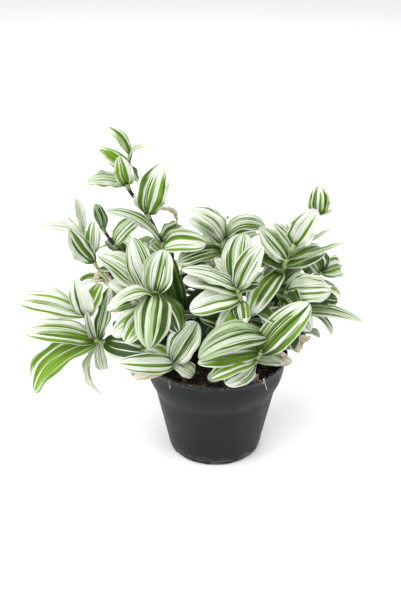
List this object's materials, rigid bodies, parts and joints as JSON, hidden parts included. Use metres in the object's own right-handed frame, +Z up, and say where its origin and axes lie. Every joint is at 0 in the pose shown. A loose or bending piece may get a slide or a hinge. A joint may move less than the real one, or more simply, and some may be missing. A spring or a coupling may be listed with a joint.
{
  "type": "potted plant",
  "caption": "Trailing spiderwort with white-striped pointed leaves on leaning stems, rooted in soil in a round tapered black nursery pot.",
  "frame": {"origin": "centre of the pot's base, on the surface that the pot stands on", "axes": "+Z up along the pot's axis, -Y towards the plant's front"},
  "size_m": [0.2725, 0.2287, 0.277],
  "materials": {
    "pot_plastic": "satin moulded black plastic with faint scuffs",
    "soil": "crumbly damp potting soil",
    "striped_leaf": "smooth leaf, green stripes on creamy white"
  },
  "bodies": {
    "root": {"pot": "pot_plastic", "soil": "soil", "shoot_tall": "striped_leaf", "shoot_left_high": "striped_leaf", "shoot_left_mid": "striped_leaf", "shoot_left_front": "striped_leaf", "shoot_far_left": "striped_leaf", "shoot_front_left": "striped_leaf", "shoot_front": "striped_leaf", "shoot_centre": "striped_leaf", "shoot_back_mid": "striped_leaf", "shoot_right": "striped_leaf", "shoot_right_back": "striped_leaf", "shoot_right_low": "striped_leaf", "shoot_back_left": "striped_leaf", "shoot_back": "striped_leaf", "shoot_back_right": "striped_leaf", "shoot_right_side": "striped_leaf", "shoot_back_low": "striped_leaf", "shoot_left_side": "striped_leaf"}
  },
  "joints": []
}
